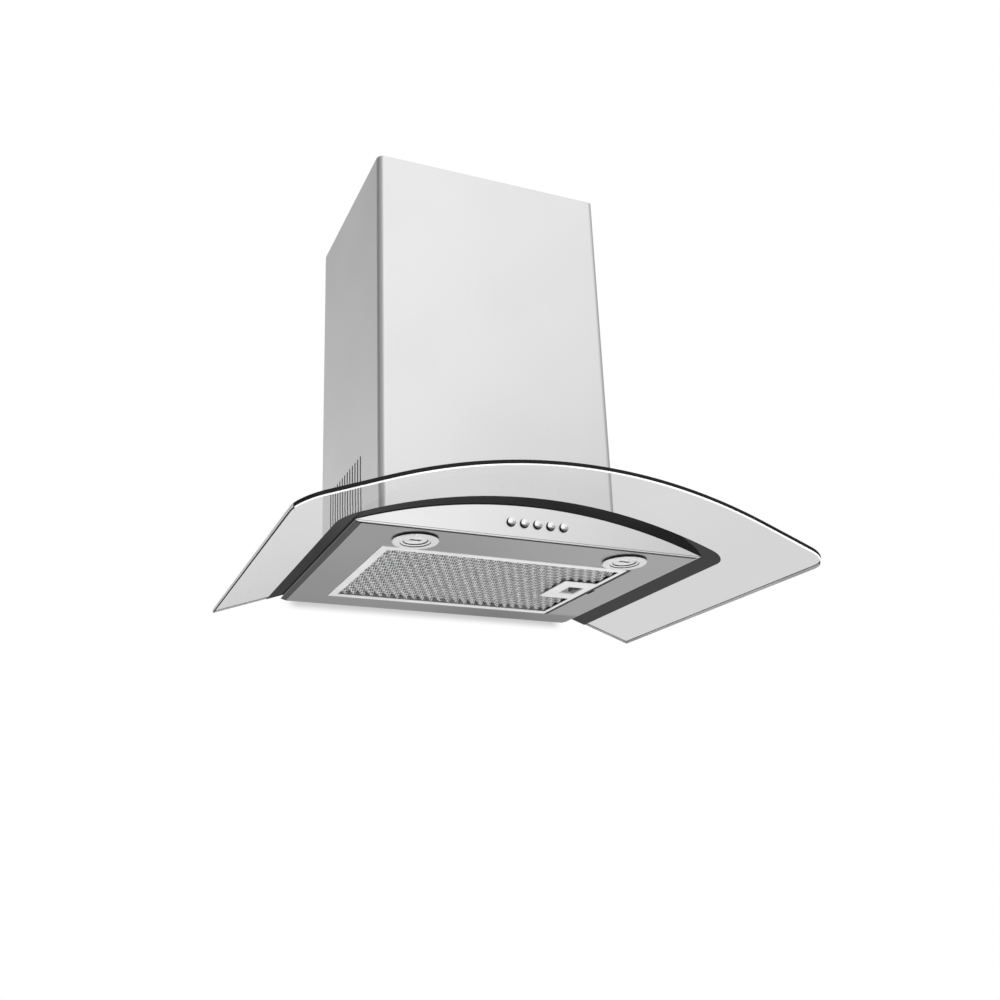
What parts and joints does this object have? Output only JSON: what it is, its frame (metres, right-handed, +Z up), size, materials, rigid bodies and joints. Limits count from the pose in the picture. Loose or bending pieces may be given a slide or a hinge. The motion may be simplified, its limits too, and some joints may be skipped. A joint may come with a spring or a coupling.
{
  "type": "curved glass range hood",
  "caption": "Wall chimney range hood with a bent glass canopy, push buttons, two lamps and a drop-down grease filter.",
  "frame": {"origin": "on the wall plane, midway between the two hanging slots", "axes": "+Y into the wall, +Z up, +X to the right seen from the front"},
  "size_m": [0.6, 0.4475, 0.5579],
  "materials": {
    "canopy_glass": "clear bent glass with ground edges",
    "black_print": "fired black enamel print",
    "seal_rubber": "matt",
    "brushed_steel": "fine brushed stainless steel",
    "zinc_steel": "galvanised sheet",
    "filter_aluminium": "satin",
    "bright_chrome": "polished",
    "lamp_glass": "pressed lens",
    "black_plastic": "moulded",
    "grey_plastic": "moulded",
    "white_plastic": "moulded",
    "motor_metal": "cast",
    "screw_steel": "zinc plated",
    "contact_brass": "plain"
  },
  "bodies": {
    "hood": {"blower_housing": "black_plastic", "body_top": "zinc_steel", "bottom_panel": "brushed_steel", "cable_gland": "black_plastic", "canopy_seal": "seal_rubber", "capacitor": "white_plastic", "capacitor_clip": "zinc_steel", "casing_lid": "zinc_steel", "chimney_outer": "brushed_steel", "chimney_rests": "zinc_steel", "clamp_pads": "seal_rubber", "clamp_screws": "screw_steel", "collar_screws": "screw_steel", "fascia": "brushed_steel", "glass_border": "black_print", "glass_canopy": "canopy_glass", "glass_clamps": "zinc_steel", "hanging_plate": "zinc_steel", "inlet_ring": "black_plastic", "inner_casing": "zinc_steel", "lamp_bezel_left": "bright_chrome", "lamp_bezel_right": "bright_chrome", "lamp_bulb_left": "lamp_glass", "lamp_bulb_right": "lamp_glass", "lamp_cup_left": "bright_chrome", "lamp_cup_right": "bright_chrome", "lamp_lens_left": "lamp_glass", "lamp_lens_right": "lamp_glass", "motor": "motor_metal", "motor_bracket": "zinc_steel", "motor_screws": "screw_steel", "outlet_collar": "black_plastic", "rear_wall": "zinc_steel", "rest_screws": "screw_steel", "switch_block": "black_plastic", "switch_terminals": "contact_brass", "terminal_box": "grey_plastic", "terminal_lid": "grey_plastic", "terminal_strip": "white_plastic"},
    "filter": {"filter_frame": "filter_aluminium", "filter_mesh": "filter_aluminium", "filter_tabs": "filter_aluminium", "latch_plate": "filter_aluminium"},
    "latch": {"latch_slider": "filter_aluminium"},
    "fan": {"impeller": "grey_plastic", "motor_shaft": "screw_steel"},
    "flap_left": {"flap_left": "grey_plastic"},
    "flap_right": {"flap_right": "grey_plastic"},
    "upper_chimney": {"chimney_inner": "brushed_steel", "ceiling_bracket": "zinc_steel", "bracket_screws": "screw_steel"},
    "button_light": {"button_1": "bright_chrome"},
    "button_off": {"button_2": "bright_chrome"},
    "button_slow": {"button_3": "bright_chrome"},
    "button_medium": {"button_4": "bright_chrome"},
    "button_fast": {"button_5": "bright_chrome"}
  },
  "joints": [
    {"name": "button_light_press", "type": "slide", "parent": "hood", "child": "button_light", "axis": [0, 1, 0], "range_m": [0, 0.0026], "stiffness_N_per_m": 400, "springref_m": -0.002},
    {"name": "button_off_press", "type": "slide", "parent": "hood", "child": "button_off", "axis": [0, 1, 0], "range_m": [0, 0.0026], "stiffness_N_per_m": 400, "springref_m": -0.002},
    {"name": "button_slow_press", "type": "slide", "parent": "hood", "child": "button_slow", "axis": [0, 1, 0], "range_m": [0, 0.0026], "stiffness_N_per_m": 400, "springref_m": -0.002},
    {"name": "button_medium_press", "type": "slide", "parent": "hood", "child": "button_medium", "axis": [0, 1, 0], "range_m": [0, 0.0026], "stiffness_N_per_m": 400, "springref_m": -0.002},
    {"name": "button_fast_press", "type": "slide", "parent": "hood", "child": "button_fast", "axis": [0, 1, 0], "range_m": [0, 0.0026], "stiffness_N_per_m": 400, "springref_m": -0.002},
    {"name": "filter_swing", "type": "hinge", "parent": "hood", "child": "filter", "pos_m": [-0.1584, -0.153, -0.325], "axis": [0, 1, 0], "range_deg": [0, 75]},
    {"name": "latch_pull", "type": "slide", "parent": "filter", "child": "latch", "axis": [-1, 0, 0], "range_m": [0, 0.005], "stiffness_N_per_m": 300, "springref_m": -0.003},
    {"name": "fan_spin", "type": "hinge", "parent": "hood", "child": "fan", "pos_m": [-0.042, -0.109, -0.153], "axis": [0, -1, 0], "continuous": true},
    {"name": "flap_left_open", "type": "hinge", "parent": "hood", "child": "flap_left", "pos_m": [-0.006, -0.109, -0.0064], "axis": [0, 1, 0], "range_deg": [0, 80]},
    {"name": "flap_right_open", "type": "hinge", "parent": "hood", "child": "flap_right", "pos_m": [0.006, -0.109, -0.0064], "axis": [0, -1, 0], "range_deg": [0, 80]},
    {"name": "chimney_extend", "type": "slide", "parent": "hood", "child": "upper_chimney", "axis": [0, 0, 1], "range_m": [0, 0.3]}
  ]
}
